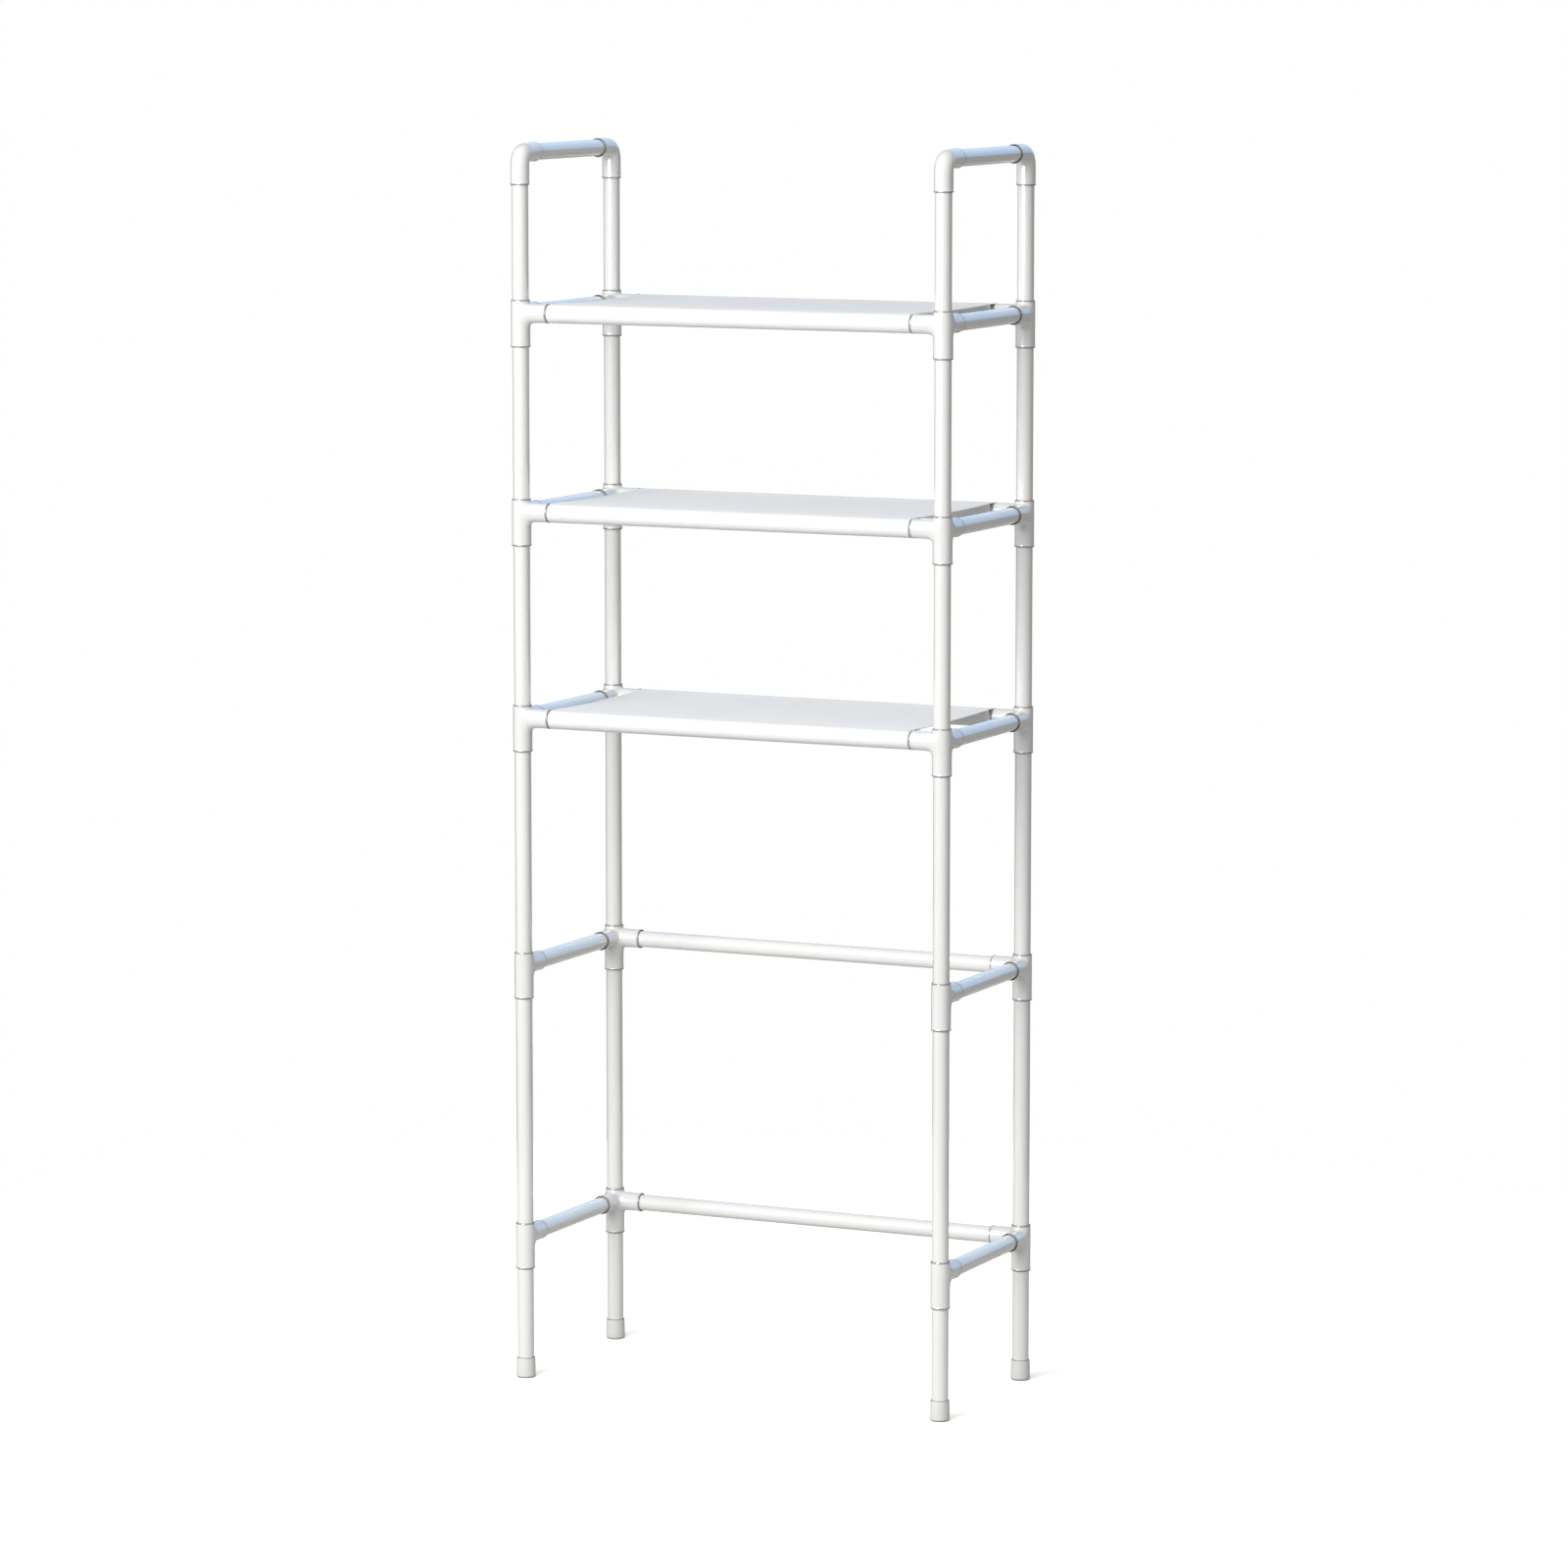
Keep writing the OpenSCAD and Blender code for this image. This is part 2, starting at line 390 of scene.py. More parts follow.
def mouth_dirt_and_shade(tree, place):
    """Patchy dark bands on a mouth's lip and round its bore, from the distances in mm that the mesh
    stores: partly grime, partly painted shade.
    """
    # A band on the lip and a band in the groove round the bore are painted dark: partly grime, partly
    # painted shade under the lip and in the groove
    lip_dirt_and_shade = remap(tree, attribute(tree, "mouth"), 1.4, 2.5, 0.95, 0.0)
    bore_dirt_and_shade = remap(tree, attribute(tree, "bore"), 0.9, 1.3, 1.0, 0.0)
    patchy = remap(tree, grain(tree, place, 260, 5, 0.65), 0.3, 0.7, 0.6, 1.0)
    return maths(tree, "MULTIPLY", maths(tree, "MAXIMUM", lip_dirt_and_shade, bore_dirt_and_shade), patchy)


def moulded_plastic():
    """Gloss plastic with a fine skin, a ridge along the parting plane and dark bands at the mouths,
    partly grime and partly painted shade.
    """
    material, tree, shader = new_material("moulded_fitting", MOULD_WHITE, 0.2)
    add_gloss(shader, 0.9, 0.09)
    place = object_place(tree)
    cloud = grain(tree, place, 30, 4)
    peel = grain(tree, place, 900, 2)
    flow = grain(tree, place, 140, 1)
    ridge = remap(tree, maths(tree, "ABSOLUTE", attribute(tree, "parting")), 0.05, 0.2, 1.0, 0.0)
    dirt_and_shade = mouth_dirt_and_shade(tree, place)
    tone = blend_colours(tree, cloud, (*MOULD_SHADE, 1), (*MOULD_WHITE, 1))
    # The tone darkened by the painted shade and grime at the mouths
    dirt_and_shade_tone = blend_colours(tree, between(tree, dirt_and_shade, 0.0, 0.95), tone, (*GRIME_AND_SHADE, 1))
    tree.links.new(dirt_and_shade_tone, shader.inputs["Base Color"])
    worn = maths(tree, "MULTIPLY_ADD", dirt_and_shade, 0.25, between(tree, cloud, 0.17, 0.28))
    tree.links.new(worn, shader.inputs["Roughness"])
    bumps(tree, shader, [(flow, 0.00006), (peel, 0.00001), (ridge, 0.00008)])
    return material


fitting_look = moulded_plastic()
print("fitting finish")

# %% Foot cap: softer plastic that scuffs at the floor
CAP_WHITE = (0.73, 0.73, 0.71)
CAP_SHADE = (0.67, 0.67, 0.65)
SCUFFED = (0.45, 0.43, 0.4)
SCUFF_TOP = 12 * MM


def foot_plastic():
    """Satin plastic, a shade greyer than the tube, scuffed where it meets the floor, with dark bands at
    its base and its rim that are partly dirt and partly painted shade.
    """
    material, tree, shader = new_material("foot_cap_plastic", CAP_WHITE, 0.4)
    place = object_place(tree)
    z = put(tree, "ShaderNodeSeparateXYZ", {0: place}).outputs["Z"]
    low_down = remap(tree, z, 0.0, SCUFF_TOP, 1.0, 0.0)
    patchy = remap(tree, grain(tree, object_place(tree, (1, 1, 5)), 700, 6, 0.75), 0.4, 0.75)
    scuff = maths(tree, "MULTIPLY", low_down, patchy)
    tone = blend_colours(tree, grain(tree, place, 60, 3), (*CAP_SHADE, 1), (*CAP_WHITE, 1))
    scuffed = blend_colours(tree, between(tree, scuff, 0.0, 0.45), tone, (*SCUFFED, 1))
    # Dark bands painted at the base, where the cap meets the floor, and at the rim, where the post
    # enters: partly dirt, partly painted shade
    base_dirt_and_shade = remap(tree, z, 0.8 * MM, 2.6 * MM, 0.85, 0.0)
    rim_dirt_and_shade = remap(tree, z, cap_h - 1.4 * MM, cap_h - 0.4 * MM, 0.0, 0.8)
    dirt_and_shade_tone = blend_colours(tree, maths(tree, "ADD", base_dirt_and_shade, rim_dirt_and_shade), scuffed, (*GRIME_AND_SHADE, 1))
    tree.links.new(dirt_and_shade_tone, shader.inputs["Base Color"])
    tree.links.new(between(tree, scuff, 0.36, 0.7), shader.inputs["Roughness"])
    bumps(tree, shader, [(grain(tree, place, 1400, 3), 0.00002), (scuff, 0.00003)])
    return material


foot_look = foot_plastic()
print("foot cap finish")

# %% Shelf cloth: plain weave under a thin coat
CLOTH_WHITE = (0.81, 0.81, 0.805)
CLOTH_SHADE = (0.76, 0.76, 0.755)
SLUB_SHADE = (0.72, 0.72, 0.715)
WEAVE_PITCH = 0.55 * MM


def shelf_cloth():
    """Coated cloth. Its UV map is in metres over the cut cloth, so the weave runs true round a rail."""
    material, tree, shader = new_material("shelf_cloth", CLOTH_WHITE, 0.65)
    shader.inputs["Specular IOR Level"].default_value = 0.2
    shader.inputs["Sheen Weight"].default_value = 0.25
    shader.inputs["Sheen Roughness"].default_value = 0.4
    uv = put(tree, "ShaderNodeUVMap", uv_map="cloth").outputs[0]
    turns = put(tree, "ShaderNodeVectorMath", {0: uv, 3: math.pi / WEAVE_PITCH}, operation="SCALE")
    threads = put(tree, "ShaderNodeSeparateXYZ", {0: turns.outputs[0]})
    warp = maths(tree, "SINE", threads.outputs["X"])
    weft = maths(tree, "SINE", threads.outputs["Y"])
    weave = maths(tree, "MULTIPLY", warp, weft)
    place = object_place(tree)
    slub = grain(tree, put(tree, "ShaderNodeMapping", {0: uv, 3: (300, 2600, 1)}).outputs[0], 1, 2)
    cloud = grain(tree, place, 14, 4)
    crease = grain(tree, place, 60, 3)
    tone = blend_colours(tree, cloud, (*CLOTH_SHADE, 1), (*CLOTH_WHITE, 1))
    slubbed = blend_colours(tree, between(tree, slub, 0.0, 0.3), tone, (*SLUB_SHADE, 1))
    tree.links.new(slubbed, shader.inputs["Base Color"])
    tree.links.new(between(tree, cloud, 0.58, 0.74), shader.inputs["Roughness"])
    bumps(tree, shader, [(crease, 0.0002), (slub, 0.00003), (weave, 0.00004)])
    return material


cloth_look = shelf_cloth()
print("cloth finish")

# %% Thread


def sewing_thread():
    """White twisted polyester; the twist is a fine wave that runs round the thread."""
    material, tree, shader = new_material("sewing_thread", (0.86, 0.86, 0.86), 0.45)
    shader.inputs["Sheen Weight"].default_value = 0.4
    place = object_place(tree)
    inputs = {"Vector": place, "Scale": 1800, "Distortion": 0.6, "Detail": 1.0}
    twist = put(tree, "ShaderNodeTexWave", inputs, bands_direction="DIAGONAL").outputs["Fac"]
    tone = blend_colours(tree, twist, (0.78, 0.78, 0.79, 1), (0.88, 0.88, 0.88, 1))
    tree.links.new(tone, shader.inputs["Base Color"])
    bumps(tree, shader, [(twist, 0.00003)])
    return material


thread_look = sewing_thread()
print("thread finish")

# %% [markdown]
# ## Tubes
#
# Every tube has the same wall and differs only in its length, so one Geometry Nodes tree makes them all.
# It sweeps a small rounded rectangle, the cut through the wall, round a circle. Sweeping the wall and not
# a solid disc gives the tube its bore and its cut ends in one go. The mesh that carries the modifier is
# only a few loose points, one at the middle of each tube.

# %% Helpers for Geometry Nodes


def geometry_tree(name, sockets):
    """An empty Geometry Nodes tree with named inputs; returns the tree and its input node."""
    tree = bpy.data.node_groups.new(name, "GeometryNodeTree")
    tree.is_modifier = True
    tree.interface.new_socket("Geometry", in_out="INPUT", socket_type="NodeSocketGeometry")
    for label, kind in sockets:
        tree.interface.new_socket(label, in_out="INPUT", socket_type=f"NodeSocket{kind}")
    tree.interface.new_socket("Geometry", in_out="OUTPUT", socket_type="NodeSocketGeometry")
    return tree, tree.nodes.new("NodeGroupInput")


def plain_object(name, mesh):
    """Links an object at the origin."""
    obj = bpy.data.objects.new(name, mesh)
    bpy.context.scene.collection.objects.link(obj)
    return obj


def settle(obj):
    """Replaces an object's modifiers by the mesh that they make."""
    graph = bpy.context.evaluated_depsgraph_get()
    result = bpy.data.meshes.new_from_object(obj.evaluated_get(graph))
    seed = obj.data
    obj.modifiers.clear()
    obj.data = result
    result.name = obj.name
    bpy.data.meshes.remove(seed)
    return obj


def grow(name, mesh, tree, values):
    """Runs a tree on a mesh with the given named inputs, and keeps the result as a plain mesh."""
    obj = plain_object(name, mesh)
    modifier = obj.modifiers.new(tree.name, "NODES")
    modifier.node_group = tree
    for item in tree.interface.items_tree:
        if item.in_out == "INPUT" and item.name in values:
            modifier[item.identifier] = values[item.name]
    return settle(obj)


def points_mesh(name, points, edges=()):
    """A mesh of loose points or lines."""
    mesh = bpy.data.meshes.new(name)
    mesh.from_pydata([tuple(p) for p in points], list(edges), [])
    return mesh


# %% The tube tree
SHARP_ANGLE = math.radians(20)


def make_tube_tree():
    """Sweeps the cut through the wall round a circle, and puts one tube on each point."""
    sockets = [
        ("Radius", "Float"), ("Wall", "Float"), ("Length", "Float"), ("Edge Radius", "Float"),
        ("Sides", "Int"), ("Direction", "Vector"), ("Material", "Material"),
    ]
    tree, given = geometry_tree("tube", sockets)
    half_wall = maths(tree, "MULTIPLY", given.outputs["Wall"], 0.5)
    path_r = maths(tree, "SUBTRACT", given.outputs["Radius"], half_wall)
    path = put(
        tree, "GeometryNodeCurvePrimitiveCircle", {"Resolution": given.outputs["Sides"], "Radius": path_r}
    )
    cut = put(
        tree, "GeometryNodeCurvePrimitiveQuadrilateral",
        {"Width": given.outputs["Wall"], "Height": given.outputs["Length"]},
    )
    rounded = put(
        tree, "GeometryNodeFilletCurve",
        {"Curve": cut.outputs[0], "Radius": given.outputs["Edge Radius"], "Count": 2},
        mode="POLY",
    )
    wall = put(
        tree, "GeometryNodeCurveToMesh",
        {"Curve": path.outputs[0], "Profile Curve": rounded.outputs[0]},
    )
    turned = put(
        tree, "FunctionNodeAlignRotationToVector", {"Vector": given.outputs["Direction"]}, axis="Z"
    )
    dots = put(tree, "GeometryNodeMeshToPoints", {"Mesh": given.outputs["Geometry"]})
    placed = put(
        tree, "GeometryNodeInstanceOnPoints",
        {"Points": dots.outputs[0], "Instance": wall.outputs[0], "Rotation": turned.outputs[0]},
    )
    real = put(tree, "GeometryNodeRealizeInstances", {0: placed.outputs[0]})
    bend = put(tree, "GeometryNodeInputMeshEdgeAngle")
    gentle = put(
        tree, "FunctionNodeCompare", {0: bend.outputs[0], 1: SHARP_ANGLE},
        data_type="FLOAT", operation="LESS_THAN",
    )
    smooth = put(
        tree, "GeometryNodeSetShadeSmooth",
        {"Geometry": real.outputs[0], "Shade Smooth": gentle.outputs[0]}, domain="EDGE",
    )
    dressed = put(
        tree, "GeometryNodeSetMaterial",
        {"Geometry": smooth.outputs[0], "Material": given.outputs["Material"]},
    )
    put(tree, "NodeGroupOutput", {0: dressed.outputs[0]})
    return tree


tube_tree = make_tube_tree()
print("tube tree has", len(tube_tree.nodes), "nodes")

# %% Make every tube
TUBE_SIDES = 72
CUT_EDGE = 0.3 * MM
AXES = (Vector((1, 0, 0)), Vector((0, 1, 0)), Vector((0, 0, 1)))
RUN_AXIS = {"across": 0, "deep": 1, "upright": 2}


def make_tubes(node, run):
    """The tubes in place of one CAD node: one, or a left and right pair. run says which way they go."""
    low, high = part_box(node)
    centre = (low + high) / 2
    paired = run != "across" and high.x - low.x > 3 * tube_r
    xs = [low.x + tube_r, high.x - tube_r] if paired else [centre.x]
    seeds = points_mesh(node, [(x, centre.y, centre.z) for x in xs])
    pipe = grow(f"{node}_pipe", seeds, tube_tree, {
        "Radius": tube_r, "Wall": tube_wall, "Length": size(node)[RUN_AXIS[run]], "Edge Radius": CUT_EDGE,
        "Sides": TUBE_SIDES, "Direction": tuple(AXES[RUN_AXIS[run]]), "Material": tube_looks[run],
    })
    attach(pipe, "root")
    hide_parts(node)
    return pipe


for tier in TIERS:
    for end in ENDS:
        node = f"{end}_post_tubes_below_{tier}"
        make_tubes(node, "upright")
for side in SIDES:
    make_tubes(f"handle_bar_{side}", "deep")
for level in LEVELS:
    make_tubes(f"{level}_side_rails", "deep")
    make_tubes(f"{level}_back_rail", "across")
for level in SHELVES:
    make_tubes(f"{level}_front_rail", "across")

# %% [markdown]
# ## Fittings
#
# A moulded fitting has no sharp inner corner: the side sockets run into the body in soft fillets, and
# each mouth ends in a small lip. Cylinders joined by a boolean would give hard creases there, so the
# fittings are subdivision surfaces. The cage is made of rings of eight points. Where the arms meet, the
# cage is a cube whose faces are two squares wide: a face that opens into an arm leaves its border, which
# is a ring of eight, and the corners lie on the curves where two equal cylinders cross. Smoothing the
# cage rounds every crease.

# %% Rings of control points
RING_STEPS = [(1, 0), (1, 1), (0, 1), (-1, 1), (-1, 0), (-1, -1), (0, -1), (1, -1)]
# Smoothing pulls a ring of eight points in to this share of its radius, so a ring starts that much wider
PULL = (4 + 2 * math.cos(math.tau / len(RING_STEPS))) / 6


def ring(bm, centre, u, v, radius, lean=Vector((0, 0, 0))):
    """Eight points round centre, in the plane of u and v; lean tips the ring, and moves its v side."""
    out = radius / PULL
    return [bm.verts.new(centre + (u * a + v * b).normalized() * out + lean * b) for a, b in RING_STEPS]


def bridge(bm, first, second):
    """A band of faces between two rings."""
    for i in range(len(first)):
        j = (i + 1) % len(first)
        bm.faces.new((first[i], first[j], second[j], second[i]))


def close(bm, last, centre):
    """Closes a ring to one point."""
    tip = bm.verts.new(centre)
    for i in range(len(last)):
        bm.faces.new((last[i], last[(i + 1) % len(last)], tip))


def run_rings(bm, first, origin, axis, u, v, stations):
    """Carries on from a ring along an axis through (distance, radius) stations, and closes the last."""
    last = first
    for along, radius in stations:
        new = ring(bm, origin + axis * along, u, v, radius)
        if last is not None:
            bridge(bm, last, new)
        last = new
    close(bm, last, origin + axis * stations[-1][0])


print(f"a ring of points starts {1 / PULL:.3f} times as wide as the smooth ring")

# %% The mouth of a socket
# At its mouth a socket is wider by GROOVE, and narrows to the tube within GROOVE_DEPTH:
# the finish paints that groove dark, partly grime and partly painted shade
GROOVE = 1.1 * MM
GROOVE_DEPTH = 1.6 * MM
# Two rings this close together keep the edge between them tight
TIGHT = 0.8 * MM
CENTRE_R = 4 * MM


def socket_inside(mouth, depth):
    """Stations from the mouth's inner edge down to the floor of the socket."""
    return [
        (mouth, socket_r + GROOVE), (mouth - GROOVE_DEPTH, socket_r), (mouth - depth + TIGHT, socket_r),
        (mouth - depth, socket_r), (mouth - depth, CENTRE_R),
    ]


def lipped_mouth(radius, mouth, depth):
    """Stations of an outside with a raised lip, and then of the socket."""
    lip_r = radius + lip_out
    outside = [
        (mouth - 4.2 * MM, radius), (mouth - 2.5 * MM, radius), (mouth - 2.0 * MM, lip_r),
        (mouth - 0.8 * MM, lip_r), (mouth, lip_r - 0.5 * MM),
    ]
    return outside + socket_inside(mouth, depth)


def cup_mouth(radius, mouth, depth):
    """Stations of a plain rim with a bevel, and then of the socket."""
    outside = [(mouth - 2.1 * MM, radius), (mouth - 1.1 * MM, radius), (mouth, radius - 0.9 * MM)]
    return outside + socket_inside(mouth, depth)


print(f"the groove at a mouth is {GROOVE / MM:.1f} mm wide")

# %% The knot where the arms meet
FILLET_PUSH = 0.8 * MM
# A corner of the cage comes in this far, to where two equal cylinders cross
DIAGONAL = math.sqrt(0.5)


def knot_point(key, open_sides):
    """Where the cage's point goes; key has -1, 0 or 1 along X, Y and Z."""
    r = body_r / PULL
    point = Vector(key) * r
    sides = [(axis, key[axis]) for axis in range(3) if key[axis]]
    closed = [side not in open_sides for side in sides]
    if len(sides) == 3 or (len(sides) == 2 and key[2] == 0 and all(closed)):
        return point * DIAGONAL
    if len(sides) == 2 and not any(closed) and key[2] < 0:
        return point + Vector(key) * FILLET_PUSH
    return point


def knot(bm, open_sides):
    """The cage's knot; returns the ring of each open side and closes the others."""
    points = {}

    def at(key):
        if key not in points:
            points[key] = bm.verts.new(knot_point(key, open_sides))
        return points[key]

    def key_on(axis, sign, a, b):
        key = [a, b]
        key.insert(axis, sign)
        return tuple(key)

    rings = {}
    for axis in range(3):
        for sign in (-1, 1):
            if (axis, sign) in open_sides:
                rings[axis, sign] = [at(key_on(axis, sign, a, b)) for a, b in RING_STEPS]
                continue
            for a in (-1, 0):
                for b in (-1, 0):
                    corners = [(a, b), (a + 1, b), (a + 1, b + 1), (a, b + 1)]
                    bm.faces.new([at(key_on(axis, sign, *c)) for c in corners])
    return rings


def other_axes(axis):
    """The two axes across this one, in the order that the knot's rings use."""
    return [AXES[i] for i in range(3) if i != axis]


# %% A post fitting with one or two side sockets
FILLET = 7.5 * MM
FILLET_ABOVE = 2.2 * MM
SPARE = 0.9 * MM
POST_SOCKET = 29 * MM + SPARE
SIDE_SOCKET = 26 * MM + SPARE


def post_fitting_cage(branches):
    """The cage of a body along Z with side sockets along the axes in branches."""
    bm = bmesh.new()
    open_sides = {(2, -1), (2, 1)} | {(axis, 1) for axis in branches}
    rings = knot(bm, open_sides)
    centre = Vector((0, 0, 0))
    below = body_r / PULL + FILLET
    above = body_r / PULL + FILLET_ABOVE
    for axis in branches:
        u, v = other_axes(axis)
        lean = AXES[axis] * (above - below) / 2
        neck = ring(bm, AXES[axis] * (above + below) / 2, u, v, branch_r, lean)
        bridge(bm, rings[axis, 1], neck)
        run_rings(bm, neck, centre, AXES[axis], u, v, lipped_mouth(branch_r, reach, SIDE_SOCKET))
    up, down = AXES[2], -AXES[2]
    run_rings(bm, rings[2, 1], centre, up, AXES[0], AXES[1], cup_mouth(body_r, body_above, POST_SOCKET))
    stations = [(below, body_r)] + lipped_mouth(body_r, body_below, POST_SOCKET)
    run_rings(bm, rings[2, -1], centre, down, AXES[0], AXES[1], stations)
    return bm


# %% An elbow
BEND_RINGS = 6


def elbow_cage():
    """The cage of a bend from a socket along -Z to a socket along +Y."""
    bm = bmesh.new()
    x, y, z = AXES
    corner = Vector((0, bend_r, -bend_r))
    last = ring(bm, Vector((0, 0, -bend_r)), x, y, branch_r)
    first = last
    for i in range(1, BEND_RINGS + 1):
        turn = math.radians(90) * i / BEND_RINGS
        outward = z * math.sin(turn) - y * math.cos(turn)
        new = ring(bm, corner + outward * bend_r, x, -outward, branch_r)
        bridge(bm, last, new)
        last = new
    stations = lipped_mouth(branch_r, reach, SIDE_SOCKET)
    run_rings(bm, last, Vector((0, 0, 0)), y, x, -z, stations)
    run_rings(bm, first, Vector((0, 0, 0)), -z, x, y, stations)
    return bm


# %% From a cage to a finished fitting
# The distance from a bore only counts this near to a mouth: an elbow's bend comes close to its axes too
MOUTH_ZONE = 4 * MM


def store(mesh, name, values):
    """Stores one number at each point of a mesh."""
    layer = mesh.attributes.new(name, "FLOAT", "POINT")
    layer.data.foreach_set("value", np.asarray(values, np.float32))


def smooth_cage(name, bm):
    """Turns a cage into a piece with two levels of subdivision."""
    bmesh.ops.recalc_face_normals(bm, faces=bm.faces)
    mesh = bpy.data.meshes.new(name)
    bm.to_mesh(mesh)
    bm.free()
    obj = plain_object(name, mesh)
    smoothing = obj.modifiers.new("smooth", "SUBSURF")
    smoothing.levels = 2
    smoothing.render_levels = 2
    settle(obj)
    obj.data.shade_smooth()
    return obj


def place_fitting(node, bm, corner, z, mouths, parting):
    """Mirrors a cage into its corner, smooths it and stores the distances that its finish reads."""
    end, side = corner
    flip = Vector((-SIDES[side], -ENDS[end], 1))
    for vert in bm.verts:
        vert.co = vert.co * flip
    obj = smooth_cage(f"{node}_moulding", bm)
    mesh = obj.data
    local = np.array([v.co for v in mesh.vertices]) * np.array(flip)
    to_mouth = [far - local @ np.array(axis) for axis, far in mouths]
    from_axis = [np.linalg.norm(np.cross(local, np.array(axis)), axis=1) for axis, _ in mouths]
    nearest = np.argmin(to_mouth, axis=0)
    inward = np.min(to_mouth, axis=0)
    from_bore = np.choose(nearest, from_axis) - socket_r
    store(mesh, "mouth", inward / MM)
    store(mesh, "bore", np.where(inward < MOUTH_ZONE, from_bore, MOUTH_ZONE) / MM)
    store(mesh, "parting", local @ np.array(parting) / MM)
    mesh.transform(Matrix.Translation((*posts[corner], z)))
    mesh.materials.append(fitting_look)
    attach(obj, "root")
    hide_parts(node)
    return obj


# %% Make every fitting
UP = AXES[2]
DOWN = -AXES[2]
fittings = []
for corner in posts:
    end, side = corner
    mouths = [(DOWN, reach), (AXES[1], reach)]
    node = f"elbow_{end}_{side}"
    fittings.append(place_fitting(node, elbow_cage(), corner, level_z["handle"], mouths, AXES[0]))
    for level in LEVELS:
        tee = level in BRACES and end == "front"
        branches = [1] if tee else [0, 1]
        kind = "tee" if tee else "connector"
        node = f"{level}_{kind}_{end}_{side}"
        mouths = [(UP, body_above), (DOWN, body_below)] + [(AXES[b], reach) for b in branches]
        cage = post_fitting_cage(branches)
        fittings.append(place_fitting(node, cage, corner, level_z[level], mouths, AXES[0 if tee else 1]))
print(len(fittings), "fittings,", len(fittings[-1].data.polygons), "faces in the last")

# %% [markdown]
# ## Foot caps
#
# A foot cap is a cup of softer plastic that is pushed on the end of a post. It widens a little towards
# the floor, its base and its rim are bevelled, and a shallow recess under it leaves a ring to stand on,
# so that it doesn't rock on a drop of paint. It is round, so the same rings of eight points make it, from
# the middle of its underside, up its outside and down into its socket.

# %% Make the foot caps
cap_top_r = cap_r - 0.4 * MM
cap_floor = 3 * MM
recess = 0.9 * MM
# Each ring's height and radius, in the order that the text gives
CAP_STATIONS = [
    (recess, 3 * MM), (recess, 7.2 * MM), (0.6 * MM, 7.8 * MM), (0, 8.4 * MM), (0, 9.6 * MM),
    (0, 10.8 * MM), (0.3 * MM, cap_r - 0.9 * MM), (1.4 * MM, cap_r), (2.4 * MM, cap_r),
    (cap_h / 2, (cap_r + cap_top_r) / 2), (cap_h - 2 * MM, cap_top_r), (cap_h - 1.1 * MM, cap_top_r),
    (cap_h - 0.1 * MM, cap_top_r - 0.8 * MM), (cap_h, socket_r + 0.4 * MM), (cap_h - 0.6 * MM, socket_r),
    (cap_floor, socket_r), (cap_floor - TIGHT, socket_r), (cap_floor - TIGHT, CENTRE_R),
]


def foot_cap_cage():
    """The cage of a cap that stands on z = 0."""
    bm = bmesh.new()
    start = ring(bm, UP * CAP_STATIONS[0][0], AXES[0], AXES[1], CAP_STATIONS[0][1])
    close(bm, start, UP * CAP_STATIONS[0][0])
    run_rings(bm, start, Vector((0, 0, 0)), UP, AXES[0], AXES[1], CAP_STATIONS[1:])
    return bm


for (end, side), post in posts.items():
    node = f"foot_cap_{end}_{side}"
    cap = smooth_cage(f"{node}_cup", foot_cap_cage())
    cap.data.transform(Matrix.Translation((*post, 0)))
    cap.data.materials.append(foot_look)
    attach(cap, "root")
    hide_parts(node)
print("4 foot caps,", len(cap.data.polygons), "faces each")

# %% [markdown]
# ## Shelf cloths
#
# Each shelf is one piece of coated cloth. Its left and right edges are hemmed first. Then its front and
# back ends are turned round the rails and sewn down under the panel, so that each makes a sleeve. The
# rails hold it tight, so there is nothing to simulate: a taut sheet only sags a little in the middle and
# pulls shallow waves from rail to rail. So it is drawn as a tailor would lay it out. One path runs across
# the cloth and turns over at the hems, another runs along it and turns round the rails, and each point of
# the cloth is a place on both.

# %% A path of straight runs and turns
CLOTH_T = 0.45 * MM
LAYER = 0.55 * MM
RAIL_PLAY = 1.2 * MM
HEM = 8 * MM
SEAM_AT = 16 * MM
FLAP = 12 * MM
WIDE_ARC_TURN = math.radians(9)
SMALL_ARC_TURN = math.radians(30)


def walk(moves, step):
    """Follows (length, turn) moves. Returns distance, place and heading at points at most step apart."""
    place = np.zeros(2)
    heading = 0.0
    gone = 0.0
    stops = [(0.0, 0.0, 0.0, 0.0)]
    for length, turn in moves:
        sharpest = WIDE_ARC_TURN if length > 3 * step else SMALL_ARC_TURN
        count = max(math.ceil(length / step), math.ceil(abs(turn) / sharpest))
        half = turn / count / 2
        chord = length / count * np.sinc(half / math.pi)
        for _ in range(count):
            place = place + chord * np.array([math.cos(heading + half), math.sin(heading + half)])
            heading += 2 * half
            gone += length / count
            stops.append((gone, *place, heading))
    return np.array(stops)


def arc(radius, turn):
    """A move round an arc; a positive turn is to the left."""
    return (radius * abs(turn), turn)


# %% The two paths of the cloth
cover_low, cover_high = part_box("top_shelf_cover")
half_width = (cover_high.x - cover_low.x) / 2
half_depth = (posts["back", "left"].y - posts["front", "left"].y) / 2
wrap_r = tube_r + RAIL_PLAY
seam_drop = wrap_r - LAYER
seam_far = math.hypot(SEAM_AT, seam_drop)
# The cloth comes off the rail heading inward of straight up by the angle leave,
# and rise is the length of its straight run from there to the seam
leave = math.acos(wrap_r / seam_far) - math.atan2(seam_drop, SEAM_AT)
rise = math.sqrt(seam_far**2 - wrap_r**2)
TURN_R = 1.2 * MM
half_turn = TURN_R * math.tan((math.pi / 2 - leave) / 2)

